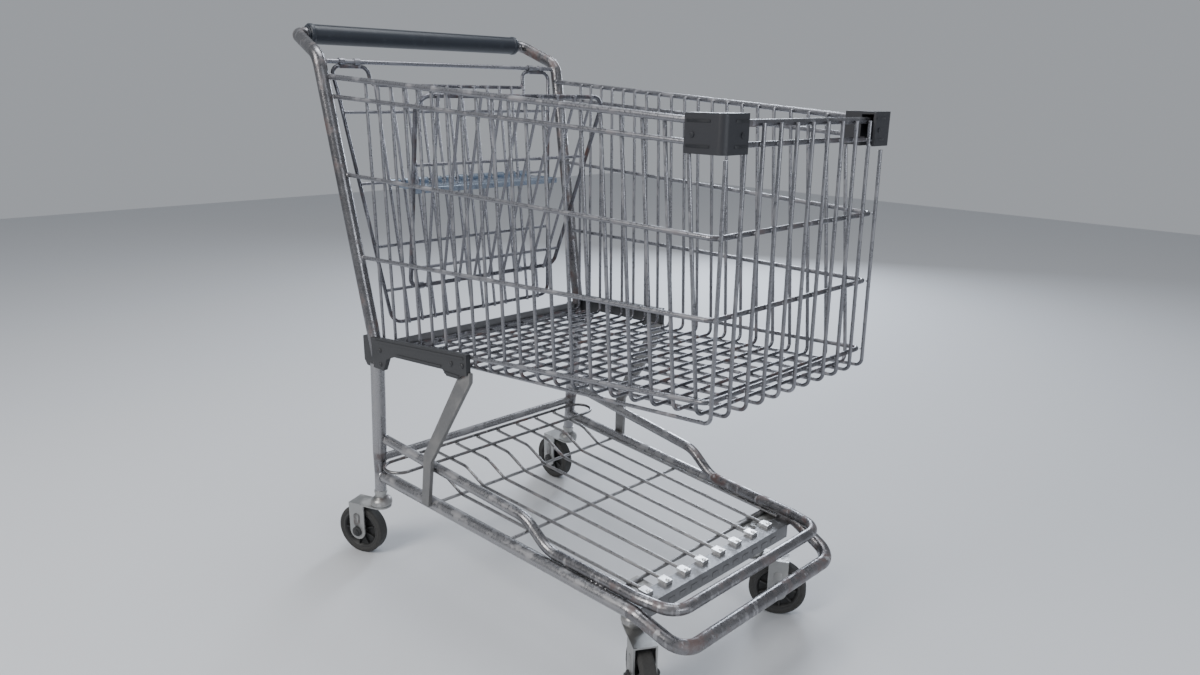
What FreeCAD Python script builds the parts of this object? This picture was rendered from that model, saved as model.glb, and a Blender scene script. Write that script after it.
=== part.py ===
import FreeCAD, Part
import os
import math

from FreeCAD import Vector

os.makedirs("parts", exist_ok=True)

# Supermarket shopping trolley. Millimetres. +Z up, floor at z = 0.
# The trolley travels along -Y: the basket's small end is at -Y, the handle at +Y.
# The user's right-hand side is at -X. The trolley is symmetric about x = 0, apart
# from the way each castor happens to point.

# ---------------------------------------------------------------- driving sizes
WHEEL_RADIUS = 50.0
WHEEL_WIDTH = 24.0
CASTOR_TRAIL = 48.0

TUBE_RADIUS = 11.5
TUBE_WALL = 1.8
LEG_RADIUS = 13.0
LEG_WALL = LEG_RADIUS - TUBE_RADIUS
LEG_FOOT_RADIUS = 11.0
POST_FOOT = Vector(243, 289, 140)
POST_KNEE = Vector(247, 260, 430)
POST_NECK = Vector(268, 361, 945)
HANDLE_CORNER = Vector(257, 462, 985)
SLEEVE_RADIUS = 17.5
SLEEVE_HALF_LENGTH = 236.0

BASE_RADIUS = 11.0
BASE_WALL = 1.6
BASE_Z = 174.0
BASE_REAR = Vector(242, 280, BASE_Z)
BASE_KNEE = Vector(203, -358, BASE_Z)
BASE_NOSE = Vector(188, -442, 144)

RAIL_RADIUS = 9.0
RAIL_WALL = 1.5
RAIL_REAR = Vector(238, 280, 253)
RAIL_DROP_TOP = Vector(205, -117, 229)
RAIL_DROP_FOOT = Vector(202, -169, 190.4)
RAIL_KNEE = Vector(190.5, -358, 190.4)
RAIL_NOSE = Vector(178, -418, 190.4)

RIM_RADIUS = 4.5
RING_RADIUS = 3.5
WIRE_RADIUS = 2.75
WIRE_OFFSET = RING_RADIUS + WIRE_RADIUS
# rear and front corner of the basket's top and bottom edges, on the left-hand side
TOP_REAR = Vector(258, 350, 910.4)
TOP_FRONT = Vector(177.5, -455, 856)
LOW_REAR = Vector(246, 263, 453.7)
LOW_FRONT = Vector(183, -457, 516)
# share of the basket's height at which each ring sits, at the rear and at the front
RING_LEVELS = {
    "ring_upper": (0.928, 0.926),
    "ring_middle": (0.638, 0.609),
    "ring_lower": (0.323, 0.313),
    "ring_floor": (0.0, 0.0),
}
CROSS_WIRES = 20
LONG_WIRES = 11
FLOOR_DROP = 21.0
HOOK_RADIUS = 11.0

TRAY_WIRE_RADIUS = 3.0
TRAY_Z = BASE_Z
TRAY_LOOP_Z = 203.0

GATE_AXIS_Y = 361.0
GATE_AXIS_Z = 936.0
GATE_ROD_RADIUS = 4.0
GATE_WIRE_RADIUS = 3.5
GATE_LOW_Y = 298.0
GATE_LOW_Z = 462.0
GATE_SLOPE = 0.13
BACK_AXIS_Z = 528.0
PAN_AXIS_Z = 725.0


# -------------------------------------------------------------------- helpers
def save(name, shapes):
    """Write one node: a single solid, or a group of separate solids."""
    group = shapes if isinstance(shapes, list) else [shapes]
    solids = [solid for shape in group for solid in shape.Solids]
    whole = solids[0] if len(solids) == 1 else Part.makeCompound(solids)
    whole.exportStep("parts/" + name + ".step")


def mirrored(shape):
    """The same shape on the other side of the trolley."""
    return shape.mirror(Vector(0, 0, 0), Vector(1, 0, 0))


def flip(point):
    """The mirror image of a point."""
    return Vector(-point.x, point.y, point.z)


def between(start, end, share):
    return start + (end - start) * share


def rounded_path(points, bends):
    """Straight runs joined by arcs. bends holds one radius for each inner point."""
    edges = []
    at = points[0]
    for before, corner, after, radius in zip(points, points[1:], points[2:], bends):
        into = (corner - before).normalize()
        out = (after - corner).normalize()
        turn = into.getAngle(out)
        reach = radius * math.tan(turn / 2)
        start = corner - into * reach
        end = corner + out * reach
        inward = (out - into).normalize()
        middle = corner + inward * (radius / math.cos(turn / 2) - radius)
        edges.append(Part.LineSegment(at, start).toShape())
        edges.append(Part.Arc(start, middle, end).toShape())
        at = end
    edges.append(Part.LineSegment(at, points[-1]).toShape())
    return Part.Wire(edges)


def rod(points, radius, bends=()):
    """A round bar along a path."""
    if len(points) == 2:
        run = points[1] - points[0]
        return Part.makeCylinder(radius, run.Length, points[0], run)
    path = rounded_path(points, bends)
    section = Part.Wire(Part.makeCircle(radius, points[0], points[1] - points[0]))
    return path.makePipeShell([section], True, False)


def u_path(side):
    """A path on the left-hand side, joined across the front to its mirror image."""
    return side + [flip(point) for point in reversed(side)]


def prism(outline, direction):
    """A straight-sided solid from a closed outline."""
    face = Part.Face(Part.makePolygon(outline + [outline[0]]))
    return face.extrude(direction)


def block(low, high):
    size = high - low
    return Part.makeBox(size.x, size.y, size.z, low)


# ------------------------------------------- rear legs, handle frame and its sleeve
# tube that runs from inside one rear leg up the post, round the handle and down again
LEG_TOP = between(POST_FOOT, POST_KNEE, 0.93)
TUBE_START = between(POST_FOOT, POST_KNEE, 0.78)
post_points = [TUBE_START, POST_KNEE, POST_NECK, HANDLE_CORNER]
post_bends = [120, 34, 19]
handle_points = u_path(post_points)
handle_bends = post_bends + list(reversed(post_bends))
handle_solid = rod(handle_points, TUBE_RADIUS, handle_bends)
handle_bore = rod(handle_points, TUBE_RADIUS - TUBE_WALL, handle_bends)
save("handle_frame", handle_solid.cut(handle_bore))


def leg_shape(inset):
    """A rear leg, necked down at the foot. An inset gives its bore."""
    slim = LEG_FOOT_RADIUS - inset
    wide = LEG_RADIUS - inset
    low = POST_FOOT - (LEG_TOP - POST_FOOT).normalize() * 5
    neck_low = between(POST_FOOT, LEG_TOP, 0.15)
    neck_high = between(POST_FOOT, LEG_TOP, 0.33)
    foot = Part.makeCylinder(slim, (neck_low - low).Length, low, neck_low - low)
    neck = Part.makeCone(slim, wide, (neck_high - neck_low).Length, neck_low, neck_high - neck_low)
    tube = Part.makeCylinder(wide, (LEG_TOP - neck_high).Length, neck_high, LEG_TOP - neck_high)
    return foot.fuse([neck, tube])


below_foot = block(Vector(200, 240, 100), Vector(300, 340, POST_FOOT.z))
leg_outside = leg_shape(0).cut(below_foot)
rear_leg = leg_outside.cut(leg_shape(LEG_WALL))
save("rear_leg_left", rear_leg)
save("rear_leg_right", mirrored(rear_leg))
posts = [handle_solid, leg_outside, mirrored(leg_outside)]

sleeve_start = Vector(-SLEEVE_HALF_LENGTH, HANDLE_CORNER.y, HANDLE_CORNER.z)
along_x = Vector(1, 0, 0)
sleeve = Part.makeCylinder(SLEEVE_RADIUS, 2 * SLEEVE_HALF_LENGTH, sleeve_start, along_x)
sleeve = sleeve.makeFillet(2.5, [e for e in sleeve.Edges if e.Curve.TypeId == "Part::GeomCircle"])
sleeve_bore = Part.makeCylinder(TUBE_RADIUS, 2 * SLEEVE_HALF_LENGTH, sleeve_start, along_x)
save("handle_sleeve", sleeve.cut(sleeve_bore))

# -------------------------------------------------------------- base and tray rail
base_points = u_path([BASE_REAR, BASE_KNEE, BASE_NOSE])
base_bends = [70, 36, 36, 70]
base_solid = rod(base_points, BASE_RADIUS, base_bends)
base_tube = base_solid.cut(rod(base_points, BASE_RADIUS - BASE_WALL, base_bends))
save("base_tube", base_tube.cut(posts))

rail_points = u_path([RAIL_REAR, RAIL_DROP_TOP, RAIL_DROP_FOOT, RAIL_KNEE, RAIL_NOSE])
rail_bends = [60, 60, 80, 34]
rail_bends = rail_bends + list(reversed(rail_bends))
rail_solid = rod(rail_points, RAIL_RADIUS, rail_bends)
rail_tube = rail_solid.cut(rod(rail_points, RAIL_RADIUS - RAIL_WALL, rail_bends))
save("tray_rail", rail_tube.cut(posts))

cross_tube_points = [Vector(-242, 282, 211), Vector(242, 282, 211)]
save("rear_cross_tube", rod(cross_tube_points, 7.5).cut(posts))


# ------------------------------------------------------------------- lower tray
def base_half_width(y):
    """Distance from the middle to the base tube's centre line."""
    share = (BASE_REAR.y - y) / (BASE_REAR.y - BASE_KNEE.y)
    return BASE_REAR.x + (BASE_KNEE.x - BASE_REAR.x) * share


TRAY_FRONT_PITCH = 43.0
TRAY_REAR_PITCH = 52.0
TRAY_CHANNEL_REAR = -327.0
TRAY_CHANNEL_FRONT = -356.0
TRAY_WIRE_START = -324.0
TRAY_WIRE_REACH = 2 * TRAY_WIRE_RADIUS

tray_long_wires = []
tray_wire_tabs = []
for index in range(8):
    lane = index - 3.5
    front_x = lane * TRAY_FRONT_PITCH
    rear_x = lane * TRAY_REAR_PITCH
    slope_x = (rear_x - front_x) / (272 - TRAY_WIRE_START)
    loop_under = TRAY_LOOP_Z - TRAY_WIRE_REACH
    points = []
    for y, z in ((TRAY_WIRE_START, TRAY_Z), (112, TRAY_Z), (165, loop_under), (270, loop_under)):
        points.append(Vector(front_x + slope_x * (y - TRAY_WIRE_START), y, z))
    tray_long_wires.append(rod(points, TRAY_WIRE_RADIUS, [45, 45]))
    low = Vector(front_x - 7, TRAY_WIRE_START - 18.05, TRAY_Z - TRAY_WIRE_RADIUS)
    tray_wire_tabs.append(block(low, low + Vector(14, 18, TRAY_WIRE_REACH)))
save("tray_long_wires", tray_long_wires)
save("tray_wire_tabs", tray_wire_tabs)

tray_cross_wires = []
for y in (125, -68, -297):
    half = base_half_width(y)
    z = TRAY_Z - TRAY_WIRE_REACH
    wire = rod([Vector(-half, y, z), Vector(half, y, z)], TRAY_WIRE_RADIUS)
    tray_cross_wires.append(wire.cut(base_solid))
save("tray_cross_wires", tray_cross_wires)

tray_edge_wires = []
for side in (-1, 1):
    gap = BASE_RADIUS + TRAY_WIRE_RADIUS + 0.1
    start = Vector(side * (base_half_width(260) - gap), 260, TRAY_Z)
    end = Vector(side * (base_half_width(-330) - gap), -330, TRAY_Z)
    tray_edge_wires.append(rod([start, end], TRAY_WIRE_RADIUS))
save("tray_edge_wires", tray_edge_wires)

# closed wire loop across the rear of the tray
LOOP_HALF_WIDTH = 255.0
LOOP_REAR = 268.0
LOOP_FRONT = 208.0
loop_end = (LOOP_REAR - LOOP_FRONT) / 2
loop_middle = (LOOP_REAR + LOOP_FRONT) / 2
loop_straight = LOOP_HALF_WIDTH - loop_end
loop_corners = [
    Vector(-loop_straight, LOOP_REAR, TRAY_LOOP_Z),
    Vector(loop_straight, LOOP_REAR, TRAY_LOOP_Z),
    Vector(loop_straight, LOOP_FRONT, TRAY_LOOP_Z),
    Vector(-loop_straight, LOOP_FRONT, TRAY_LOOP_Z),
]
loop_tips = [
    Vector(LOOP_HALF_WIDTH, loop_middle, TRAY_LOOP_Z),
    Vector(-LOOP_HALF_WIDTH, loop_middle, TRAY_LOOP_Z),
]
loop_path = Part.Wire([
    Part.LineSegment(loop_corners[0], loop_corners[1]).toShape(),
    Part.Arc(loop_corners[1], loop_tips[0], loop_corners[2]).toShape(),
    Part.LineSegment(loop_corners[2], loop_corners[3]).toShape(),
    Part.Arc(loop_corners[3], loop_tips[1], loop_corners[0]).toShape(),
])
loop_section = Part.Wire(Part.makeCircle(TRAY_WIRE_RADIUS, loop_corners[0], along_x))
save("tray_rear_loop", loop_path.makePipeShell([loop_section], True, False))

# channel that carries the front ends of the tray's wires
channel_top = TRAY_Z - TRAY_WIRE_RADIUS
channel_half = base_half_width(TRAY_CHANNEL_FRONT)
channel = block(
    Vector(-channel_half, TRAY_CHANNEL_FRONT, channel_top - 2.5),
    Vector(channel_half, TRAY_CHANNEL_REAR, channel_top),
)
face_half = channel_half - BASE_RADIUS - 8
front_face = block(
    Vector(-face_half, TRAY_CHANNEL_FRONT, channel_top - 24),
    Vector(face_half, TRAY_CHANNEL_FRONT + 2.5, channel_top),
)
channel = channel.fuse(front_face).cut(base_solid)
save("tray_channel", channel)


# ----------------------------------------------------------------------- basket
def basket_corner(rear_share, front_share):
    """Rear and front corner of a ring at a share of the basket's height."""
    rear = between(LOW_REAR, TOP_REAR, rear_share)
    front = between(LOW_FRONT, TOP_FRONT, front_share)
    return rear, front


def basket_ring(rear, front, radius, widen, bend):
    """A U-shaped ring whose ends butt against the posts."""
    out = Vector(widen, 0, 0)
    back = Vector(0, widen, 0)
    points = u_path([rear + out, front + out + back])
    return rod(points, radius, [bend, bend]).cut(posts)


save("basket_rim", basket_ring(TOP_REAR, TOP_FRONT, RIM_RADIUS, RIM_RADIUS - RING_RADIUS, 20))
for name, levels in RING_LEVELS.items():
    rear, front = basket_corner(*levels)
    save("basket_" + name, basket_ring(rear, front, RING_RADIUS, 0, 14))


def side_point(rear, front, y, inset):
    """A point on the basket's side at a given y, moved in from the ring's centre line."""
    share = (rear.y - y) / (rear.y - front.y)
    point = between(rear, front, share)
    return Vector(point.x - inset, y, point.z)


# wires that run down one side, hook under the floor ring, cross the floor and go up again
TOP_WIRE_START = -401.0
TOP_WIRE_PITCH = 34.3
LOW_WIRE_START = -435.0
LOW_WIRE_PITCH = 35.9
cross_wires = []
for index in range(CROSS_WIRES):
    top_y = TOP_WIRE_START + TOP_WIRE_PITCH * index
    low_y = LOW_WIRE_START + LOW_WIRE_PITCH * index
    top = side_point(TOP_REAR, TOP_FRONT, top_y, WIRE_OFFSET)
    low = side_point(LOW_REAR, LOW_FRONT, low_y, WIRE_OFFSET)
    drop = (low - top) * (FLOOR_DROP / (top.z - low.z))
    foot = low + drop
    cross_wires.append(rod(u_path([top, foot]), WIRE_RADIUS, [HOOK_RADIUS, HOOK_RADIUS]))
save("basket_cross_wires", cross_wires)

# wires that run down the front, hook under the floor ring and run back along the floor
FLOOR_STRIP_Y = 253.0
long_wires = []
for index in range(LONG_WIRES):
    lane = (index - (LONG_WIRES - 1) / 2) / ((LONG_WIRES - 1) / 2)
    outer = abs(lane) > 0.99
    ahead = Vector(0, -WIRE_OFFSET, 0)
    top = Vector(lane * (TOP_FRONT.x - 1), TOP_FRONT.y, TOP_FRONT.z) + ahead
    low = Vector(lane * (LOW_FRONT.x - 1), LOW_FRONT.y, LOW_FRONT.z) + ahead
    if outer:
        top = between(top, low, 0.12)
    under = FLOOR_DROP + 2 * WIRE_RADIUS
    corner = low + (low - top) * (under / (top.z - low.z))
    slope = (LOW_FRONT.z - LOW_REAR.z) / (LOW_REAR.y - LOW_FRONT.y)
    run = FLOOR_STRIP_Y - 2 - corner.y
    rear_x = lane * (205 if outer else 198)
    end = Vector(rear_x, corner.y + run, corner.z - slope * run)
    long_wires.append(rod([top, corner, end], WIRE_RADIUS, [HOOK_RADIUS]))
save("basket_long_wires", long_wires)

strip_z = long_wires[0].BoundBox.ZMin
save("floor_rear_strip", block(
    Vector(-208, FLOOR_STRIP_Y - 2, strip_z),
    Vector(208, FLOOR_STRIP_Y + 2, strip_z + 24),
))

# black bumpers over the two front top corners: an L-shaped cap, grooved from below
# so that both upper rings pass through it
BUMPER_BACK = 60.0
BUMPER_ACROSS = 46.0
BUMPER_ARM = 26.0
BUMPER_LOW = 821.0
BUMPER_HIGH = 868.0
BUMPER_ROOF = 864.4
BUMPER_WALL = 4.0


def corner_bumper():
    outer_x = TOP_FRONT.x + 13
    front_y = TOP_FRONT.y - 13
    outside = block(
        Vector(outer_x - BUMPER_ACROSS, front_y, BUMPER_LOW),
        Vector(outer_x, front_y + BUMPER_BACK, BUMPER_HIGH),
    )
    front_upright = [
        e for e in outside.Edges
        if abs(e.tangentAt(e.FirstParameter).z) > 0.9
        and e.BoundBox.XMin > outer_x - 1
        and e.BoundBox.YMin < front_y + 1
    ]
    outside = outside.makeFillet(10, front_upright)
    inner_corner = block(
        Vector(outer_x - BUMPER_ACROSS - 1, front_y + BUMPER_ARM, BUMPER_LOW - 1),
        Vector(outer_x - BUMPER_ARM, front_y + BUMPER_BACK + 1, BUMPER_HIGH + 1),
    )
    side_groove = block(
        Vector(outer_x - BUMPER_ARM + 3.5, front_y + BUMPER_WALL, BUMPER_LOW - 1),
        Vector(outer_x - BUMPER_WALL, front_y + BUMPER_BACK + 1, BUMPER_ROOF),
    )
    front_groove = block(
        Vector(outer_x - BUMPER_ACROSS - 1, front_y + BUMPER_WALL, BUMPER_LOW - 1),
        Vector(outer_x - BUMPER_WALL, front_y + BUMPER_ARM - 3.5, BUMPER_ROOF),
    )
    return outside.cut([inner_corner, side_groove, front_groove])


rim_solid = basket_ring(TOP_REAR, TOP_FRONT, RIM_RADIUS, RIM_RADIUS - RING_RADIUS, 20)
upper_solid = basket_ring(*basket_corner(*RING_LEVELS["ring_upper"]), RING_RADIUS, 0, 14)
bumper = corner_bumper().cut([rim_solid, upper_solid])
save("corner_bumper_left", bumper)
save("corner_bumper_right", mirrored(bumper))

# ------------------------------------------------ side brackets, struts and posts
# local frame: u runs forward along the basket's lower edge, from the post
side_angle = math.degrees(math.atan2(LOW_REAR.x - LOW_FRONT.x, LOW_REAR.y - LOW_FRONT.y))
BRACKET_OUTLINE = [
    (-22, 459), (0, 460), (269, 483.5), (269, 449), (255, 445), (247, 438),
    (217, 437), (207, 446), (72, 437), (48, 428), (36, 404), (-14, 404), (-22, 414),
]
BRACKET_THICKNESS = 9.0


def side_bracket():
    outline = [Vector(RING_RADIUS + 0.1, -u, z) for u, z in BRACKET_OUTLINE]
    plate = prism(outline, Vector(BRACKET_THICKNESS, 0, 0))
    grip = block(Vector(-14, -8, 404), Vector(RING_RADIUS + 0.2, 20, 442))
    plate = plate.fuse(grip)
    plate.rotate(Vector(0, 0, 0), Vector(0, 0, 1), -side_angle)
    plate.translate(Vector(LOW_REAR.x, LOW_REAR.y, 0))
    return plate.cut(posts)


bracket = side_bracket()
save("side_bracket_left", bracket)
save("side_bracket_right", mirrored(bracket))

STRUT_THICKNESS = 7.0
STRUT_OUTLINE = [
    (22, 452), (-10, 452), (-10, 436), (102, 262), (109, 174), (131, 174), (125, 270), (24, 436),
]


def strut():
    outline = [Vector(0, y, z) for y, z in STRUT_OUTLINE]
    bar = prism(outline, Vector(STRUT_THICKNESS, 0, 0))
    bar.rotate(Vector(0, 0, 452), Vector(0, 1, 0), -3.2)
    bar.translate(Vector(225.1, 0, 0))
    return bar.cut([bracket, base_solid, rail_solid])


save("strut_left", strut())
save("strut_right", mirrored(strut()))

# ------------------------------------------------------------ swinging rear gate
rod_left = Vector(POST_NECK.x - 3, GATE_AXIS_Y, GATE_AXIS_Z)
gate_rod = rod([flip(rod_left), rod_left], GATE_ROD_RADIUS)
save("gate_hinge_rod", gate_rod.cut(posts))


def gate_point(x, z):
    """A point on the middle plane of the closed gate."""
    return Vector(x, GATE_LOW_Y + (z - GATE_LOW_Z) * GATE_SLOPE, z)


loop_top = GATE_AXIS_Z - GATE_ROD_RADIUS - GATE_WIRE_RADIUS - 0.4
gate_half = [
    gate_point(0, 897),
    gate_point(174, 897),
    Vector(177, GATE_AXIS_Y, loop_top),
    Vector(247, GATE_AXIS_Y, loop_top),
    gate_point(240, 880),
    gate_point(190, 466),
]
gate_side = rod(
    gate_half + [gate_point(0, 466)],
    GATE_WIRE_RADIUS,
    [12, 14, 14, 60, 24],
)
gate_frame = gate_side.fuse(mirrored(gate_side))
save("gate_frame", gate_frame)

# straps that close the gate's two top loops round the hinge rod
straps = []
for x in (-226, -197, 197, 226):
    start = Vector(x - 5, GATE_AXIS_Y, GATE_AXIS_Z)
    strap = Part.makeCylinder(6.2, 10, start, along_x)
    strap = strap.cut(Part.makeCylinder(GATE_ROD_RADIUS + 0.08, 10, start, along_x))
    straps.append(strap.cut(gate_frame))
save("gate_hinge_straps", straps)

GATE_UPRIGHTS = 12
uprights = []
front_step = Vector(0, -(GATE_WIRE_RADIUS + WIRE_RADIUS), 0)
for index in range(GATE_UPRIGHTS):
    lane = (index - (GATE_UPRIGHTS - 1) / 2) / ((GATE_UPRIGHTS - 1) / 2)
    top = gate_point(lane * 170, 900) + front_step
    low = gate_point(lane * 158, 463) + front_step
    uprights.append(rod([top, low], WIRE_RADIUS))
save("gate_upright_wires", uprights)

gate_cross_wires = []
for z in (850, PAN_AXIS_Z, 610, BACK_AXIS_Z):
    half = 190 + 50 * (z - 466) / 414
    gate_cross_wires.append(
        rod([gate_point(-half, z), gate_point(half, z)], 3.0).cut(gate_frame)
    )
save("gate_cross_wires", gate_cross_wires)


# ------------------------------------------------------------------- child seat
BACK_TOP = Vector(0, 148, 881)
BACK_LOW = Vector(0, 258, 540)
BACK_TILT = (BACK_LOW.y - BACK_TOP.y) / (BACK_TOP.z - BACK_LOW.z)


def back_point(x, z):
    """A point on the middle plane of the opened seat back."""
    return Vector(x, BACK_TOP.y + (BACK_TOP.z - z) * BACK_TILT, z)


back_half = [back_point(0, 881), back_point(210, 881), back_point(172, 540), back_point(0, 540)]
back_side = rod(back_half, 4.0, [26, 20])
back_frame = back_side.fuse(mirrored(back_side))
back_axis = gate_point(0, BACK_AXIS_Z)
hooks = []
for x in (-120, 120):
    eye = Part.makeCylinder(6.5, 8, Vector(x - 4, back_axis.y, back_axis.z), along_x)
    arm = rod([Vector(x, back_axis.y - 3, back_axis.z), back_point(x, 540)], 3.0)
    hooks.append(eye.fuse(arm))
pivot_hole = Part.makeCylinder(3.1, 500, Vector(-250, back_axis.y, back_axis.z), along_x)
back_frame = back_frame.fuse(hooks).cut(pivot_hole)
save("seat_back_frame", back_frame)

BACK_UPRIGHTS = 9
back_step = Vector(0, -(4.0 + WIRE_RADIUS), 0)
back_uprights = []
for index in range(BACK_UPRIGHTS):
    lane = (index - (BACK_UPRIGHTS - 1) / 2) / ((BACK_UPRIGHTS - 1) / 2)
    top = back_point(lane * 172, 884) + back_step
    low = back_point(lane * 140, 537) + back_step
    back_uprights.append(rod([top, low], WIRE_RADIUS))
save("seat_back_uprights", back_uprights)

back_cross = []
for z, half in ((767, 193), (576, 174)):
    back_cross.append(rod([back_point(-half, z), back_point(half, z)], 3.0).cut(back_frame))
save("seat_back_cross_wires", back_cross)

# seat pan: a smooth plate rolled round the gate's cross wire, with a turned-down lip
pan_axis = gate_point(0, PAN_AXIS_Z)
PAN_HALF = 168.0
PAN_THICKNESS = 2.5
knuckle = Part.makeCylinder(5.8, 2 * PAN_HALF, Vector(-PAN_HALF, pan_axis.y, pan_axis.z), along_x)
pan_top = pan_axis.z - 5.8 + PAN_THICKNESS
pan_plate = block(
    Vector(-PAN_HALF, pan_axis.y - 92, pan_top - PAN_THICKNESS),
    Vector(PAN_HALF, pan_axis.y, pan_top),
)
pan_lip = block(
    Vector(-PAN_HALF, pan_axis.y - 92, pan_top - 10),
    Vector(PAN_HALF, pan_axis.y - 92 + PAN_THICKNESS, pan_top),
)
pan = pan_plate.fuse([pan_lip, knuckle]).removeSplitter()
lip_edges = [
    e for e in pan.Edges
    if e.BoundBox.YMax < pan_axis.y - 91.9 and e.BoundBox.ZMin > pan_top - 0.1
]
pan = pan.makeFillet(2.2, lip_edges)
pan_bore = Part.makeCylinder(3.1, 2 * PAN_HALF + 2, Vector(-PAN_HALF - 1, pan_axis.y, pan_axis.z), along_x)
pan = pan.cut(pan_bore)
for index in range(GATE_UPRIGHTS):
    lane = (index - (GATE_UPRIGHTS - 1) / 2) / ((GATE_UPRIGHTS - 1) / 2)
    x = lane * (158 + 12 * (PAN_AXIS_Z - 463) / 437)
    slot = block(
        Vector(x - 5, pan_axis.y - 36, pan_axis.z - 12),
        Vector(x + 5, pan_axis.y + 8, pan_axis.z + 12),
    )
    pan = pan.cut(slot)
save("seat_pan", pan)


# ---------------------------------------------------------------------- castors
FORK_TOP = 110.0
FORK_SHEET = 3.0
FORK_HALF_WIDTH = 19.0
LEG_HALF = 17.0
AXLE_RADIUS = 4.0
FRONT_PLATE_Z = 160.5
FRONT_PLATE_THICKNESS = 4.0
# kingpin x and y, height of the top fixing, and the turn of the fork in degrees
CASTORS = {
    "rear_right": (-POST_FOOT.x, POST_FOOT.y, POST_FOOT.z, 24),
    "rear_left": (POST_FOOT.x, POST_FOOT.y, POST_FOOT.z, 0),
    "front_right": (-150, -310, FRONT_PLATE_Z, 150),
    "front_left": (150, -310, FRONT_PLATE_Z, -148),
}
origin = Vector(0, 0, 0)
up = Vector(0, 0, 1)


def ring(outer, inner, low, high, centre=origin):
    base = centre + Vector(0, 0, low)
    solid = Part.makeCylinder(outer, high - low, base)
    return solid.cut(Part.makeCylinder(inner, high - low, base))


def castor_housing(top):
    """Domed pressing fixed under the frame, with its neck."""
    bowl = Part.makeCylinder(19, 8, Vector(0, 0, 112.5))
    dome = Part.makeCone(19, 10, 7, Vector(0, 0, 120.5))
    neck = Part.makeCylinder(10.8, top - 127.5, Vector(0, 0, 127.5))
    body = bowl.fuse([dome, neck])
    return body.cut(Part.makeCylinder(5.05, 26, Vector(0, 0, 112)))


def castor_fork():
    """Pressed fork: a top plate with the kingpin hole and two legs."""
    deck = block(
        Vector(-FORK_HALF_WIDTH, 0, FORK_TOP - FORK_SHEET),
        Vector(FORK_HALF_WIDTH, CASTOR_TRAIL + LEG_HALF, FORK_TOP),
    )
    round_end = Part.makeCylinder(FORK_HALF_WIDTH, FORK_SHEET, Vector(0, 0, FORK_TOP - FORK_SHEET))
    fork = deck.fuse(round_end)
    for side in (-1, 1):
        outer = side * FORK_HALF_WIDTH
        inner = side * (FORK_HALF_WIDTH - FORK_SHEET)
        leg = block(
            Vector(min(outer, inner), CASTOR_TRAIL - LEG_HALF, WHEEL_RADIUS),
            Vector(max(outer, inner), CASTOR_TRAIL + LEG_HALF, FORK_TOP),
        )
        eye = Part.makeCylinder(
            LEG_HALF, FORK_SHEET, Vector(min(outer, inner), CASTOR_TRAIL, WHEEL_RADIUS), along_x
        )
        fork = fork.fuse([leg, eye])
    fork = fork.removeSplitter()
    fork = fork.cut(Part.makeCylinder(5.1, 10, Vector(0, 0, FORK_TOP - 6)))
    axle_hole = Part.makeCylinder(AXLE_RADIUS, 60, Vector(-30, CASTOR_TRAIL, WHEEL_RADIUS), along_x)
    return fork.cut(axle_hole)


def kingpin():
    """Bolt with its head under the fork, and the nut on the same thread."""
    shank = Part.makeCylinder(5.0, 34, Vector(0, 0, 103))
    head = Part.makeCylinder(9.0, 4, Vector(0, 0, 102.7))
    return shank.fuse(head)


def axle():
    """Axle bolt with a round dark cap at each end; the far cap is screwed on."""
    centre = Vector(-FORK_HALF_WIDTH - 3, CASTOR_TRAIL, WHEEL_RADIUS)
    near_cap = Part.makeCylinder(10, 3, centre, along_x)
    shaft = Part.makeCylinder(AXLE_RADIUS, 2 * FORK_HALF_WIDTH + 2.95, centre, along_x)
    bolt = near_cap.fuse(shaft)
    cap_start = Vector(FORK_HALF_WIDTH, CASTOR_TRAIL, WHEEL_RADIUS)
    far_cap = Part.makeCylinder(10, 3, cap_start, along_x)
    return [bolt, far_cap]


def turned(profile):
    """A solid of revolution about the wheel's axle, from (x, radius) points."""
    points = [Vector(x, CASTOR_TRAIL, WHEEL_RADIUS + r) for x, r in profile]
    face = Part.Face(Part.makePolygon(points + [points[0]]))
    return face.revolve(Vector(0, CASTOR_TRAIL, WHEEL_RADIUS), along_x, 360)


half = WHEEL_WIDTH / 2
wheel_core = turned([
    (-half - 2, AXLE_RADIUS + 0.08), (half + 2, AXLE_RADIUS + 0.08), (half + 2, 11),
    (6, 13), (6, 32), (half - 1, 36), (half - 1, 40), (-half + 1, 40), (-half + 1, 36),
    (-6, 32), (-6, 13), (-half - 2, 11),
])
tyre = turned([
    (-half + 1, 40), (half - 1, 40), (half, 42), (half, 46.5), (half - 1.6, 49),
    (half - 4.5, WHEEL_RADIUS), (-half + 4.5, WHEEL_RADIUS), (-half + 1.6, 49),
    (-half, 46.5), (-half, 42),
])

races = []
kingpins = []
for name, (x, y, top, yaw) in CASTORS.items():
    def placed(shape):
        copy = shape.copy()
        copy.rotate(origin, up, yaw)
        copy.translate(Vector(x, y, 0))
        return copy

    housing = placed(castor_housing(top))
    if name.startswith("front"):
        inner_x = 118 if x > 0 else -118
        outer_x = 206 if x > 0 else -206
        plate = block(
            Vector(min(inner_x, outer_x), y - 26, top),
            Vector(max(inner_x, outer_x), y + 26, top + FRONT_PLATE_THICKNESS),
        )
        housing = housing.fuse(plate).cut(base_solid)
    save("castor_housing_" + name, housing)
    save("fork_" + name, placed(castor_fork()))
    save("axle_" + name, [placed(part) for part in axle()])
    save("wheel_core_" + name, placed(wheel_core))
    save("tyre_" + name, placed(tyre))
    kingpins.append(placed(kingpin()))
    races.append(placed(ring(17, 6, FORK_TOP + 0.2, 112.4)))
save("swivel_races", races)
save("kingpins", kingpins)
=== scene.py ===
import math
import random

import bpy
from mathutils import Matrix, Vector


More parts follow.
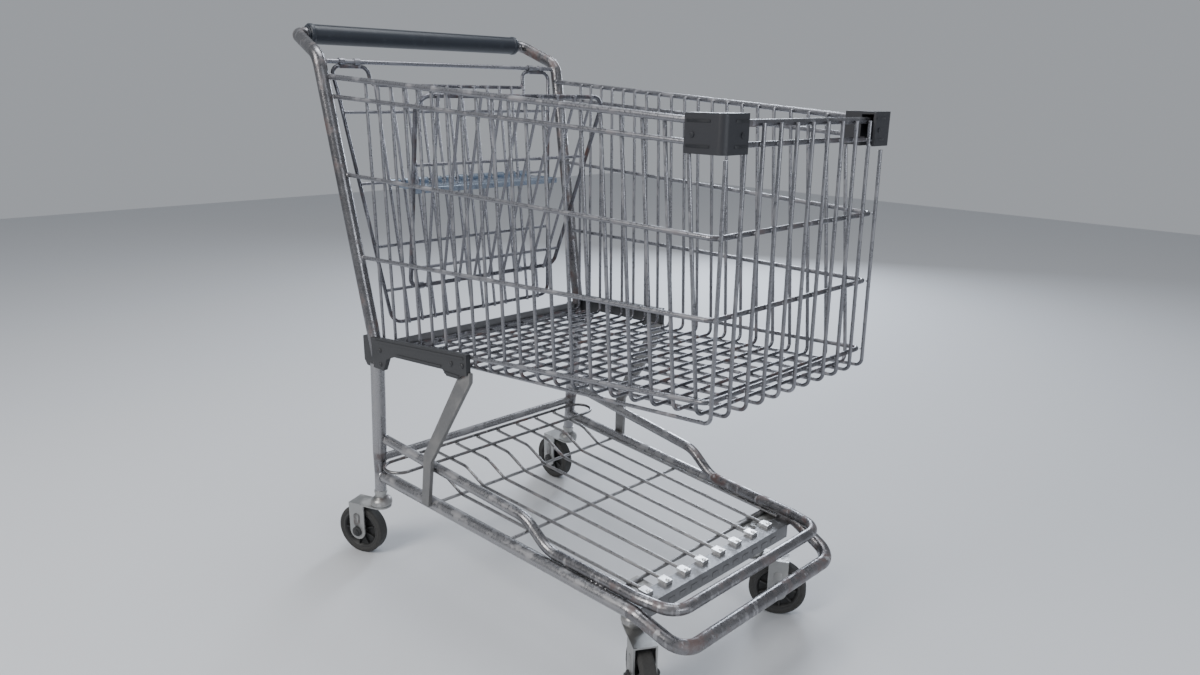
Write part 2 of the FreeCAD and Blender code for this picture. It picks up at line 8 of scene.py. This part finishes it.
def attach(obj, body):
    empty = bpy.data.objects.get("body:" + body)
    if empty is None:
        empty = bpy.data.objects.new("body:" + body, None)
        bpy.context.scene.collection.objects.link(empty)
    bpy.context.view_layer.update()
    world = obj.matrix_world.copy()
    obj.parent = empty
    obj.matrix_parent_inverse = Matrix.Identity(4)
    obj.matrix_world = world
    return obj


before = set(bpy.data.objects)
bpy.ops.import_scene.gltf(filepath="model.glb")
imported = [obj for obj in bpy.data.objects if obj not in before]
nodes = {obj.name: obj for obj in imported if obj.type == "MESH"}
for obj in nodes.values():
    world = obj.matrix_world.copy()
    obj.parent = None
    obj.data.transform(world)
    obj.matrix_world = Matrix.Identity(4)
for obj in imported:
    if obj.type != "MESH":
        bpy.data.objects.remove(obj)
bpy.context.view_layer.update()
random.seed(11)
MM = 0.001


# ------------------------------------------------------------------ camera
def add_camera():
    """The photograph's viewpoint: azimuth, elevation and a slight roll."""
    azimuth, elevation, roll = math.radians(-43.66), math.radians(16.24), math.radians(0.73)
    back = Vector((math.sin(azimuth) * math.cos(elevation),
                   -math.cos(azimuth) * math.cos(elevation),
                   math.sin(elevation)))
    level = Vector((math.cos(azimuth), math.sin(azimuth), 0))
    upright = back.cross(level)
    right = level * math.cos(roll) + upright * math.sin(roll)
    up = upright * math.cos(roll) - level * math.sin(roll)
    data = bpy.data.cameras.new("camera")
    data.sensor_width = 36
    data.sensor_fit = "HORIZONTAL"
    data.lens = 36 * 838 / 1200
    camera = bpy.data.objects.new("camera", data)
    bpy.context.scene.collection.objects.link(camera)
    turn = Matrix((right, up, back)).transposed().to_4x4()
    camera.matrix_world = Matrix.Translation((-0.9609, -1.0764, 0.8877)) @ turn
    bpy.context.scene.camera = camera


# --------------------------------------------------------------- materials
class Graph:
    """A small helper round one material's node tree."""

    def __init__(self, name):
        self.material = bpy.data.materials.new(name)
        self.material.use_nodes = True
        self.tree = self.material.node_tree
        self.shader = self.tree.nodes["Principled BSDF"]
        self.coords = self.tree.nodes.new("ShaderNodeTexCoord").outputs["Object"]

    def link(self, output, socket):
        self.tree.links.new(output, socket)

    def noise(self, scale, detail=4.0, roughness=0.55, stretch=None):
        node = self.tree.nodes.new("ShaderNodeTexNoise")
        node.inputs["Scale"].default_value = scale
        node.inputs["Detail"].default_value = detail
        node.inputs["Roughness"].default_value = roughness
        source = self.coords
        if stretch:
            mapping = self.tree.nodes.new("ShaderNodeMapping")
            mapping.inputs["Scale"].default_value = stretch
            self.link(source, mapping.inputs["Vector"])
            source = mapping.outputs["Vector"]
        self.link(source, node.inputs["Vector"])
        return node.outputs["Fac"]

    def ramp(self, value, stops):
        """Map a value through (position, grey or colour) stops."""
        node = self.tree.nodes.new("ShaderNodeValToRGB")
        elements = node.color_ramp.elements
        while len(elements) < len(stops):
            elements.new(0.5)
        for element, (position, tone) in zip(elements, stops):
            colour = tone if isinstance(tone, tuple) else (tone, tone, tone)
            element.position = position
            element.color = (*colour, 1)
        self.link(value, node.inputs["Fac"])
        return node.outputs["Color"]

    def mix(self, factor, first, second, blend="MIX"):
        node = self.tree.nodes.new("ShaderNodeMix")
        node.data_type = "RGBA"
        node.blend_type = blend
        sockets = (node.inputs[0], node.inputs[6], node.inputs[7])
        for value, socket in zip((factor, first, second), sockets):
            if isinstance(value, (int, float)):
                socket.default_value = value
            elif isinstance(value, tuple):
                socket.default_value = (*value, 1)
            else:
                self.link(value, socket)
        return node.outputs[2]

    def bump(self, height, strength, distance):
        node = self.tree.nodes.new("ShaderNodeBump")
        node.inputs["Strength"].default_value = strength
        node.inputs["Distance"].default_value = distance
        self.link(height, node.inputs["Height"])
        self.link(node.outputs["Normal"], self.shader.inputs["Normal"])

    def edge(self):
        """Lighter on outward edges, from edge wear plus a painted edge highlight; corners keep the darker base
        colour.
        """
        node = self.tree.nodes.new("ShaderNodeNewGeometry")
        return self.ramp(node.outputs["Pointiness"], [(0.50, 0.0), (0.56, 1.0)])


def worn_metal(name, clean, dark, rust, rust_share, rough=(0.24, 0.5), metallic=0.92, scale=26.0,
               relief=0.0006):
    """Plated steel: tarnish in patches, brown-red rust tints, fine scratches and pits."""
    graph = Graph(name)
    tarnish = graph.ramp(graph.noise(scale, 6.0, 0.65), [(0.36, 0.0), (0.62, 1.0)])
    base = graph.mix(tarnish, clean, dark)
    patches = graph.noise(scale * 1.1, 7.0, 0.68)
    rusty = graph.ramp(patches, [(rust_share, 1.0), (rust_share + 0.14, 0.0)])
    tint = graph.mix(graph.noise(scale * 7, 3.0), rust, tuple(0.45 * value for value in rust))
    base = graph.mix(rusty, base, tint)
    scratches = graph.ramp(graph.noise(90.0, 3.0, 0.5, (1.0, 1.0, 0.12)), [(0.60, 0.0), (0.66, 1.0)])
    base = graph.mix(scratches, base, tuple(min(1.0, 1.4 * value + 0.04) for value in clean))
    # Lighter outward edges: edge wear plus a painted edge highlight.
    base = graph.mix(graph.edge(), base, tuple(min(1.0, 1.25 * value + 0.05) for value in clean))
    graph.link(base, graph.shader.inputs["Base Color"])
    speckle = graph.noise(scale * 9, 5.0, 0.6)
    low, high = rough
    roughness = graph.mix(rusty, graph.ramp(speckle, [(0.3, low), (0.7, high)]), (0.68, 0.68, 0.68))
    graph.link(roughness, graph.shader.inputs["Roughness"])
    metal = graph.mix(rusty, (metallic, metallic, metallic), (0.35, 0.35, 0.35))
    graph.link(metal, graph.shader.inputs["Metallic"])
    graph.bump(speckle, 0.35, relief)
    return graph.material


def moulded(name, colour, dust, rough=(0.42, 0.62), grain=420.0, dust_share=0.56, relief=0.0004):
    """Moulded plastic or rubber: fine grain, pale scuffs, a little dust, and lighter edges from wear plus a
    painted edge highlight.
    """
    graph = Graph(name)
    cloud = graph.ramp(graph.noise(12.0, 6.0, 0.7), [(0.35, 0.0), (0.7, 1.0)])
    base = graph.mix(cloud, colour, tuple(1.35 * value for value in colour))
    scuff = graph.ramp(graph.noise(60.0, 5.0, 0.62), [(dust_share, 0.0), (dust_share + 0.16, 0.28)])
    base = graph.mix(scuff, base, dust)
    # Lighter outward edges: scuffing plus a painted edge highlight.
    base = graph.mix(graph.edge(), base, tuple(0.72 * a + 0.28 * b for a, b in zip(colour, dust)))
    graph.link(base, graph.shader.inputs["Base Color"])
    fine = graph.noise(grain, 3.0, 0.6)
    graph.link(graph.ramp(fine, [(0.3, rough[0]), (0.7, rough[1])]), graph.shader.inputs["Roughness"])
    graph.bump(fine, 0.45, relief)
    graph.shader.inputs["Metallic"].default_value = 0.0
    return graph.material


RUST = (0.115, 0.055, 0.045)
MATERIALS = {
    "worn_tube": worn_metal("worn_tube", (0.215, 0.212, 0.22), (0.115, 0.112, 0.118), RUST, 0.35, (0.2, 0.38)),
    "tray_wire": worn_metal("tray_wire", (0.20, 0.197, 0.20), (0.10, 0.097, 0.10), RUST, 0.34, (0.22, 0.42)),
    "basket_wire": worn_metal("basket_wire", (0.185, 0.185, 0.20), (0.08, 0.08, 0.09), RUST, 0.34, (0.2, 0.4)),
    "gate_wire": worn_metal("gate_wire", (0.18, 0.18, 0.20), (0.08, 0.08, 0.092), RUST, 0.33, (0.2, 0.4)),
    "seat_wire": worn_metal("seat_wire", (0.17, 0.17, 0.19), (0.078, 0.078, 0.09), RUST, 0.33, (0.2, 0.4)),
    "strut_metal": worn_metal("strut_metal", (0.14, 0.137, 0.135), (0.07, 0.068, 0.066), RUST, 0.36,
                              (0.34, 0.55)),
    "tab_metal": worn_metal("tab_metal", (0.62, 0.62, 0.62), (0.36, 0.36, 0.36), RUST, 0.28, (0.3, 0.5)),
    "sheet_metal": worn_metal("sheet_metal", (0.13, 0.13, 0.135), (0.065, 0.064, 0.068), RUST, 0.33,
                              (0.36, 0.56)),
    # The seat pan's blue-grey base, lighter than the other metals, is a painted blue-white highlight, not the
    # plate's own tone.
    "seat_plate": worn_metal("seat_plate", (0.30, 0.36, 0.44), (0.17, 0.20, 0.25), RUST, 0.22, (0.10, 0.22),
                             scale=7.0, relief=0.00008),
    "castor_fittings": worn_metal("castor_fittings", (0.30, 0.30, 0.295), (0.15, 0.148, 0.145), RUST, 0.37,
                                  (0.3, 0.5)),
    "fork_metal": worn_metal("fork_metal", (0.26, 0.26, 0.255), (0.13, 0.128, 0.125), RUST, 0.37, (0.3, 0.5)),
    "axle_metal": moulded("axle_metal", (0.016, 0.016, 0.017), (0.10, 0.10, 0.10)),
    "sleeve_plastic": moulded("sleeve_plastic", (0.014, 0.018, 0.026), (0.075, 0.085, 0.105), (0.36, 0.5)),
    "bumper_plastic": moulded("bumper_plastic", (0.010, 0.011, 0.014), (0.07, 0.07, 0.08), (0.38, 0.55)),
    "bracket_plastic": moulded("bracket_plastic", (0.014, 0.015, 0.017), (0.08, 0.08, 0.085), (0.38, 0.56)),
    "wheel_plastic": moulded("wheel_plastic", (0.014, 0.014, 0.014), (0.10, 0.097, 0.093)),
    "tyre_rubber": moulded("tyre_rubber", (0.012, 0.012, 0.012), (0.11, 0.105, 0.098), (0.6, 0.85), 300.0,
                           0.50, 0.0007),
}
TUBES = ("handle_frame", "base_tube", "tray_rail", "rear_cross_tube", "rear_leg")
SHEET = ("tray_channel", "floor_rear_strip")
SLOTS = [
    ("handle_sleeve", "sleeve_plastic"), ("corner_bumper", "bumper_plastic"),
    ("side_bracket", "bracket_plastic"), ("strut", "strut_metal"), ("tray_wire_tabs", "tab_metal"),
    ("castor_housing", "castor_fittings"), ("kingpin", "castor_fittings"),
    ("swivel_races", "castor_fittings"), ("fork_", "fork_metal"), ("axle_", "axle_metal"),
    ("wheel_core", "wheel_plastic"), ("tyre_", "tyre_rubber"), ("seat_back", "seat_wire"),
    ("gate_", "gate_wire"), ("seat_pan", "seat_plate"), ("basket_", "basket_wire"), ("tray_", "tray_wire"),
]


def slot_of(name):
    if name.startswith(TUBES):
        return "worn_tube"
    if name.startswith(SHEET):
        return "sheet_metal"
    return next(slot for start, slot in SLOTS if name.startswith(start))


SOFTENED = ("corner_bumper", "side_bracket", "strut", "tray_channel", "floor_rear_strip", "fork_",
            "castor_housing", "tray_wire_tabs", "axle_", "kingpins")
for name, obj in nodes.items():
    obj.data.materials.clear()
    obj.data.materials.append(MATERIALS[slot_of(name)])
    if name.startswith(SOFTENED):
        bevel = obj.modifiers.new("soft_edges", "BEVEL")
        bevel.width = 0.0004 if name.startswith(("tray", "floor", "axle", "fork", "kingpins")) else 0.0011
        bevel.segments = 2
        bevel.limit_method = "ANGLE"
        bevel.angle_limit = math.radians(50)


# ------------------------------------------------------------ mesh helpers
class Shape:
    """Vertices and faces of one piece, in millimetres."""

    def __init__(self):
        self.points = []
        self.faces = []

    def lathe(self, profile, centre, axis, segments=32):
        """Revolve (radius, distance along the axis) points about an axis."""
        axis = Vector(axis).normalized()
        side = axis.orthogonal().normalized()
        other = axis.cross(side)
        start = len(self.points)
        for radius, along in profile:
            for index in range(segments):
                turn = 2 * math.pi * index / segments
                spoke = side * math.cos(turn) + other * math.sin(turn)
                self.points.append(Vector(centre) + axis * along + spoke * radius)
        for row in range(len(profile) - 1):
            for index in range(segments):
                after = (index + 1) % segments
                low = start + row * segments
                high = low + segments
                self.faces.append((low + index, low + after, high + after, high + index))
        last = start + (len(profile) - 1) * segments
        self.faces.append(tuple(start + index for index in reversed(range(segments))))
        self.faces.append(tuple(last + index for index in range(segments)))

    def bead(self, centre, axis, major, minor, segments=28, squash=1.0):
        """A weld bead: an uneven ring round a tube."""
        axis = Vector(axis).normalized()
        side = axis.orthogonal().normalized()
        other = axis.cross(side)
        start = len(self.points)
        around = 8
        for index in range(segments):
            turn = 2 * math.pi * index / segments
            spoke = side * math.cos(turn) + other * math.sin(turn)
            fat = minor * (1 + 0.22 * math.sin(index * 2.4) + random.uniform(-0.12, 0.12))
            for step in range(around):
                roll = 2 * math.pi * step / around
                out = major + fat * math.cos(roll)
                self.points.append(Vector(centre) + spoke * out + axis * fat * squash * math.sin(roll))
        for index in range(segments):
            after = (index + 1) % segments
            for step in range(around):
                follow = (step + 1) % around
                self.faces.append((start + index * around + step, start + after * around + step,
                                   start + after * around + follow, start + index * around + follow))

    def blob(self, centre, size, long_axis=None, stretch=1.0):
        """A small rounded lump, such as a spot weld."""
        start = len(self.points)
        long_axis = Vector(long_axis).normalized() if long_axis else Vector((0, 0, 1))
        rows, around = 5, 8
        for row in range(rows):
            tilt = math.pi * (row + 0.5) / rows
            for step in range(around):
                turn = 2 * math.pi * step / around
                spoke = Vector((math.sin(tilt) * math.cos(turn), math.sin(tilt) * math.sin(turn),
                                math.cos(tilt))) * size
                spoke += long_axis * spoke.dot(long_axis) * (stretch - 1)
                self.points.append(Vector(centre) + spoke)
        for row in range(rows - 1):
            for step in range(around):
                follow = (step + 1) % around
                low = start + row * around
                self.faces.append((low + step, low + around + step, low + around + follow, low + follow))
        self.faces.append(tuple(start + step for step in range(around)))
        last = start + (rows - 1) * around
        self.faces.append(tuple(last + step for step in reversed(range(around))))

    def slab(self, outline, lift, bevel=0.5):
        """A raised pad: an outline of points, lifted along a vector with a chamfered top."""
        points = [Vector(point) for point in outline]
        lift = Vector(lift)
        middle = sum(points, Vector()) / len(points)
        tops = []
        for point in points:
            inward = (middle - point).normalized()
            tops.append(point + lift + inward * bevel)
        start = len(self.points)
        shoulder = [point + lift * 0.55 for point in points]
        self.points += points + shoulder + tops
        count = len(points)
        for layer in range(2):
            for index in range(count):
                after = (index + 1) % count
                low = start + layer * count
                self.faces.append((low + index, low + after, low + count + after, low + count + index))
        self.faces.append(tuple(start + 2 * count + index for index in range(count)))
        self.faces.append(tuple(start + index for index in reversed(range(count))))

    def build(self, name, slot, body, smooth=40):
        mesh = bpy.data.meshes.new(name)
        mesh.from_pydata([tuple(point * MM) for point in self.points], [], self.faces)
        mesh.validate()
        mesh.update()
        obj = bpy.data.objects.new(name, mesh)
        bpy.context.scene.collection.objects.link(obj)
        mesh.materials.append(MATERIALS[slot])
        for polygon in mesh.polygons:
            polygon.use_smooth = True
        mesh.set_sharp_from_angle(angle=math.radians(smooth))
        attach(obj, body)
        return obj


def hex_nut(shape, centre, axis, radius, height, washer):
    shape.lathe([(washer - 0.4, 0), (washer, 0.3), (washer, 1.0), (washer - 0.4, 1.3)], centre, axis, 28)
    shape.lathe([(radius, 1.3), (radius, height - 0.8), (radius - 0.9, height)], centre, axis, 6)
    shape.lathe([(radius * 0.5, height - 0.2), (radius * 0.5, height + 1.0), (radius * 0.32, height + 1.7)],
                centre, axis, 16)


# ------------------------------------------- sizes shared with the design, in mm
POST_FOOT = Vector((243, 289, 140))
POST_KNEE = Vector((247, 260, 430))
POST_NECK = Vector((268, 361, 945))
HANDLE_Y, HANDLE_Z, SLEEVE_HALF = 462, 985, 236
TOP_REAR, TOP_FRONT = Vector((258, 350, 910.4)), Vector((177.5, -455, 856))
LOW_REAR, LOW_FRONT = Vector((246, 263, 453.7)), Vector((183, -457, 516))
LEVELS = [(1.0, 1.0), (0.928, 0.926), (0.638, 0.609), (0.323, 0.313), (0.0, 0.0)]
CASTORS = {
    "rear_right": (-243, 289, 24), "rear_left": (243, 289, 0),
    "front_right": (-150, -310, 150), "front_left": (150, -310, -148),
}


def flip(point):
    return Vector((-point.x, point.y, point.z))


def post_at(z):
    if z < POST_KNEE.z:
        return POST_FOOT.lerp(POST_KNEE, (z - POST_FOOT.z) / (POST_KNEE.z - POST_FOOT.z))
    return POST_KNEE.lerp(POST_NECK, (z - POST_KNEE.z) / (POST_NECK.z - POST_KNEE.z))


# -------------------------------------------------- weld beads on the frame
def add_frame_welds():
    beads = Shape()
    for side in (1, -1):
        def put(point, axis, major, minor):
            spot = point if side > 0 else flip(point)
            run = Vector(axis) if side > 0 else flip(Vector(axis))
            beads.bead(spot, run, major, minor)

        put(Vector((242.4, 274.3, 174)), (0.06, 1, 0), 11.0, 1.5)
        put(Vector((238.2, 268.6, 252.3)), (0.08, 1, 0.06), 9.0, 1.4)
        put(Vector((233.6, 282, 211)), (1, 0, 0), 7.4, 1.3)
        leg_top = POST_FOOT.lerp(POST_KNEE, 0.93)
        put(leg_top, POST_KNEE - POST_FOOT, 12.1, 1.1)
        for rear_share, front_share in LEVELS:
            rear = LOW_REAR.lerp(TOP_REAR, rear_share)
            front = LOW_FRONT.lerp(TOP_FRONT, front_share)
            run = (front - rear).normalized()
            put(rear + run * 8.6, run, 4.0 if rear_share == 1.0 else 3.4, 1.1)
        put(Vector((255.8, 360, 936)), (1, 0, 0), 3.9, 1.1)
    beads.build("frame_weld_beads", "worn_tube", "frame")

    seams = Shape()
    for side in (1, -1):
        for step in range(13):
            y = -178 - 10 * step
            seams.blob((side * 201.0, y, 183.2 + 0.9 * math.sin(step * 1.9)), 2.3, (0, 1, 0), 1.9)
    seams.build("rail_seam_welds", "worn_tube", "frame")


# ---------------------------------------------- spot welds on the wire basket
def add_basket_welds():
    spots = Shape()
    for index in range(20):
        top_y, low_y = -401 + 34.3 * index, -435 + 35.9 * index
        share_top = (TOP_REAR.y - top_y) / (TOP_REAR.y - TOP_FRONT.y)
        share_low = (LOW_REAR.y - low_y) / (LOW_REAR.y - LOW_FRONT.y)
        top, low = TOP_REAR.lerp(TOP_FRONT, share_top), LOW_REAR.lerp(LOW_FRONT, share_low)
        for rear_share, front_share in LEVELS:
            share = rear_share + (front_share - rear_share) * share_low
            point = low.lerp(top, share)
            point = point - Vector((3.6, 0, 0))
            for spot in (point, flip(point)):
                spots.blob(spot, 1.9, (0, 1, 0), 1.9)
    for index in range(11):
        lane = (index - 5) / 5
        top = Vector((lane * 176.5, TOP_FRONT.y, TOP_FRONT.z))
        low = Vector((lane * 182, LOW_FRONT.y, LOW_FRONT.z))
        for level in LEVELS[1:]:
            spots.blob(low.lerp(top, level[1]) + Vector((0, -3.6, 0)), 1.9, (1, 0, 0), 1.9)
    spots.build("basket_spot_welds", "basket_wire", "frame")

    tray = Shape()
    for index in range(8):
        lane = index - 3.5
        front_x, rear_x = lane * 43, lane * 52
        for y in (-297, -68):
            x = front_x + (rear_x - front_x) * (y + 324) / 596
            tray.blob((x, y, 171.0), 1.9, (0, 1, 0), 1.7)
        for y in (212, 264):
            x = front_x + (rear_x - front_x) * (y + 324) / 596
            tray.blob((x, y, 200.0), 1.9, (1, 0, 0), 1.7)
    tray.build("tray_spot_welds", "tray_wire", "frame")


def gate_y(z):
    return 298 + (z - 462) * 0.13


def back_y(z):
    return 148 + (881 - z) * (258 - 148) / (881 - 540)


def add_gate_welds():
    spots = Shape()
    for index in range(12):
        lane = (index - 5.5) / 5.5
        for z in (897, 850, 610, 528, 466):
            share = (z - 463) / 437
            x = lane * (158 + 12 * share)
            spots.blob((x, gate_y(z) - 3.4, z), 1.8, (1, 0, 0), 1.8)
    spots.build("gate_spot_welds", "gate_wire", "gate")
    spots = Shape()
    for index in range(9):
        lane = (index - 4) / 4
        for z in (881, 767, 576, 540):
            x = lane * (140 + 32 * (z - 537) / 347)
            spots.blob((x, back_y(z) - 3.6, z), 1.8, (1, 0, 0), 1.8)
    spots.build("seat_spot_welds", "seat_wire", "seat_back")


# ------------------------------------------------------------ handle sleeve
def add_sleeve_details():
    sleeve = Shape()
    for side in (1, -1):
        profile = [(17.3, 0), (18.3, 0.8), (18.6, 2.0), (18.6, 6.4), (18.3, 7.6), (17.3, 8.4)]
        start = (side * (SLEEVE_HALF - 9.5), HANDLE_Y, HANDLE_Z)
        sleeve.lathe(profile, start, (side, 0, 0), 40)
        plug = [(12.4, 0), (14.6, 0.3), (15.6, 1.4), (14.2, 2.3), (11.8, 2.6)]
        sleeve.lathe(plug, (side * SLEEVE_HALF, HANDLE_Y, HANDLE_Z), (side, 0, 0), 40)
    sleeve.build("sleeve_end_collars", "sleeve_plastic", "frame")
    seam = Shape()
    for turn in (-60, 120):
        out = Vector((0, math.cos(math.radians(turn)), math.sin(math.radians(turn))))
        across = Vector((0, -out.z, out.y))
        base = Vector((0, HANDLE_Y, HANDLE_Z)) + out * 17.2
        corners = []
        for x, sway in ((-225, -0.9), (225, -0.9), (225, 0.9), (-225, 0.9)):
            corners.append(base + Vector((x, 0, 0)) + across * sway)
        seam.slab(corners, out * 0.75, 0.3)
    seam.build("sleeve_mould_seam", "sleeve_plastic", "frame")


# -------------------------------------------------- bumpers and side brackets
def add_bumper_details():
    for label, side in (("left", 1), ("right", -1)):
        pads = Shape()
        x = side * 190.5
        for z in (828.5, 857.5):
            outline = [(x, -447, z), (x, -411, z), (x, -411, z + 3), (x, -447, z + 3)]
            pads.slab(outline, (side * 0.9, 0, 0), 0.5)
            outline = [(side * 147, -468, z), (side * 170, -468, z), (side * 170, -468, z + 3),
                       (side * 147, -468, z + 3)]
            pads.slab(outline, (0, -0.9, 0), 0.5)
        pads.lathe([(3.6, 0), (3.6, 0.9), (3.0, 1.6), (1.4, 1.8)], (x, -420, 843), (side, 0, 0), 20)
        pads.lathe([(3.6, 0), (3.6, 0.9), (3.0, 1.6), (1.4, 1.8)], (side * 156, -468, 843), (0, -1, 0), 20)
        pads.build("bumper_ribs_" + label, "bumper_plastic", "frame")


def add_bracket_details():
    """Raised borders and rivets on the outside of the two side brackets."""
    angle = math.atan2(LOW_REAR.x - LOW_FRONT.x, LOW_REAR.y - LOW_FRONT.y)
    for label, side in (("left", 1), ("right", -1)):
        def place(u, z, out=12.6):
            x, y = out, -u
            turned = Vector((x * math.cos(angle) + y * math.sin(angle),
                             -x * math.sin(angle) + y * math.cos(angle), z))
            point = turned + Vector((LOW_REAR.x, LOW_REAR.y, 0))
            return point if side > 0 else flip(point)

        lift = (place(0, 0, 13.8) - place(0, 0, 12.6))
        pads = Shape()
        pads.slab([place(16, 452.5), place(262, 474), place(262, 478), place(16, 457.5)], lift, 0.6)
        pads.slab([place(80, 440.5), place(204, 449.2), place(204, 452.2), place(80, 443.5)], lift, 0.6)
        pads.slab([place(212, 440.5), place(250, 441.5), place(250, 445), place(212, 444)], lift, 0.6)
        for u, z in ((28, 440), (28, 414), (230, 461), (258, 463)):
            pads.lathe([(4.6, 0), (4.6, 0.8), (3.9, 1.7), (2.0, 2.3)], place(u, z, 12.5), lift, 22)
        pads.build("bracket_ribs_and_rivets_" + label, "bracket_plastic", "frame")


# ------------------------------------------------------------------ castors
def add_castor_details():
    for label, (x, y, yaw) in CASTORS.items():
        turn = math.radians(yaw)
        across = Vector((math.cos(turn), math.sin(turn), 0))
        trail = Vector((-math.sin(turn), math.cos(turn), 0))
        up = Vector((0, 0, 1))
        pin = Vector((x, y, 0))
        hub = pin + trail * 48 + up * 50

        skirt = Shape()
        dome = [(19.2, 112.9), (20.4, 113.4), (20.6, 115), (20.4, 119.6), (19.2, 122.4),
                (16.0, 125.4), (12.8, 127.6), (11.6, 129.4), (11.4, 132.5)]
        skirt.lathe(dome, pin, up, 40)
        if label.startswith("rear"):
            collar = [(11.2, 136.2), (12.4, 136.8), (12.6, 139.0), (12.3, 141.6), (11.1, 142.4)]
            skirt.lathe(collar, pin, up, 36)
        else:
            side = 1 if x > 0 else -1
            for bolt_x in (132, 178):
                for bolt_y in (-328, -292):
                    hex_nut(skirt, (side * bolt_x, bolt_y, 160.6), (0, 0, -1), 5.4, 5.0, 7.2)
        skirt.build("castor_dome_" + label, "castor_fittings", "frame")

        fork = Shape()
        for side in (1, -1):
            face = hub + across * (side * 18.9)
            outline = []
            for step in range(16):
                roll = 2 * math.pi * step / 16
                end = 32 if math.sin(roll) > 0 else 16
                offset = trail * (7.5 * math.cos(roll)) + up * (7.0 * math.sin(roll) + end)
                outline.append(face + offset)
            fork.slab(outline, across * (side * 1.3), 1.1)
            fork.bead(pin + up * 110 + across * (side * 0.1), up, 17.6, 0.55, 36)
        fork.build("fork_pressings_" + label, "fork_metal", "fork_body_" + label)

        nuts = Shape()
        for side in (1, -1):
            hex_nut(nuts, hub + across * (side * 21.9), across * side, 6.6, 5.2, 9.0)
        nuts.build("axle_nuts_" + label, "axle_metal", "fork_body_" + label)

        ribs = Shape()
        for side in (1, -1):
            for step in range(9):
                roll = 2 * math.pi * step / 9
                spoke = trail * math.cos(roll) + up * math.sin(roll)
                width = across.cross(spoke) * 1.3
                base = hub + across * (side * 5.9)
                outline = [base + spoke * 12.5 - width, base + spoke * 33.5 - width,
                           base + spoke * 33.5 + width, base + spoke * 12.5 + width]
                ribs.slab(outline, across * (side * 4.4), 0.4)
            ribs.bead(hub + across * (side * 10.9), across, 37.6, 0.9, 48)
        ribs.build("wheel_ribs_" + label, "wheel_plastic", "wheel_" + label)

        tread = Shape()
        for side in (1, -1):
            tread.bead(hub + across * (side * 11.9), across, 44.2, 0.8, 56)
        tread.build("tyre_sidewall_rings_" + label, "tyre_rubber", "wheel_" + label)


# --------------------------------------------------------- tray and seat pan
def add_tray_details():
    tray = Shape()
    for index in range(8):
        x = (index - 3.5) * 43
        tray.lathe([(3.4, 0), (3.4, 0.7), (2.6, 1.4), (1.0, 1.7)], (x, -338, 176.8), (0, 0, 1), 16)
    tray.build("tray_tab_rivets", "tab_metal", "frame")
    face = Shape()
    for index in range(12):
        x = (index - 5.5) * 26
        outline = [(x - 7, -356, 153), (x + 7, -356, 153), (x + 7, -356, 161), (x - 7, -356, 161)]
        face.slab(outline, (0, -0.8, 0), 0.7)
    face.build("tray_channel_swages", "sheet_metal", "frame")

    pan = Shape()
    y, z = 332.19, 725
    for side in (1, -1):
        x = side * 160
        outline = [(x - 2.2, y - 86, z - 3.35), (x + 2.2, y - 86, z - 3.35), (x + 2.2, y - 40, z - 3.35),
                   (x - 2.2, y - 40, z - 3.35)]
        pan.slab(outline, (0, 0, 1.2), 0.6)
    outline = [(-150, y - 78, z - 3.35), (150, y - 78, z - 3.35), (150, y - 74, z - 3.35),
               (-150, y - 74, z - 3.35)]
    pan.slab(outline, (0, 0, 1.0), 0.6)
    pan.build("seat_pan_swages", "seat_plate", "seat_pan")


add_camera()
add_frame_welds()
add_basket_welds()
add_gate_welds()
add_sleeve_details()
add_bumper_details()
add_bracket_details()
add_castor_details()
add_tray_details()


# ---------------------------------------------------------- floor and lights
def add_floor():
    mesh = bpy.data.meshes.new("floor")
    mesh.from_pydata([(-6, -6, 0), (6, -6, 0), (6, 6, 0), (-6, 6, 0)], [], [(0, 1, 2, 3)])
    floor = bpy.data.objects.new("floor", mesh)
    bpy.context.scene.collection.objects.link(floor)
    material = bpy.data.materials.new("floor")
    material.use_nodes = True
    shader = material.node_tree.nodes["Principled BSDF"]
    shader.inputs["Base Color"].default_value = (0.62, 0.63, 0.65, 1)
    shader.inputs["Roughness"].default_value = 0.75
    mesh.materials.append(material)


def add_light(name, place, aim, size, power, colour):
    data = bpy.data.lights.new(name, "AREA")
    data.shape = "RECTANGLE"
    data.size, data.size_y = size
    data.energy = power
    data.color = colour
    lamp = bpy.data.objects.new(name, data)
    bpy.context.scene.collection.objects.link(lamp)
    lamp.location = place
    lamp.rotation_euler = (Vector(aim) - Vector(place)).to_track_quat("-Z", "Y").to_euler()


def add_lights():
    add_light("key", (-2.6, 0.2, 2.4), (0, 0, 0.5), (1.2, 1.8), 70, (1.0, 0.98, 0.95))
    add_light("top", (0.4, 0.2, 3.0), (0, 0, 0.4), (1.6, 1.6), 45, (0.93, 0.96, 1.0))
    add_light("front", (-0.3, -3.2, 1.2), (0, 0, 0.5), (1.6, 1.0), 26, (0.88, 0.93, 1.0))
    add_light("rim", (2.6, 1.6, 1.5), (0, 0, 0.6), (0.8, 1.8), 60, (0.80, 0.88, 1.0))
    world = bpy.data.worlds.new("world")
    bpy.context.scene.world = world
    world.use_nodes = True
    world.node_tree.nodes["Background"].inputs[0].default_value = (0.86, 0.90, 0.96, 1)
    world.node_tree.nodes["Background"].inputs[1].default_value = 0.42


add_floor()
add_lights()
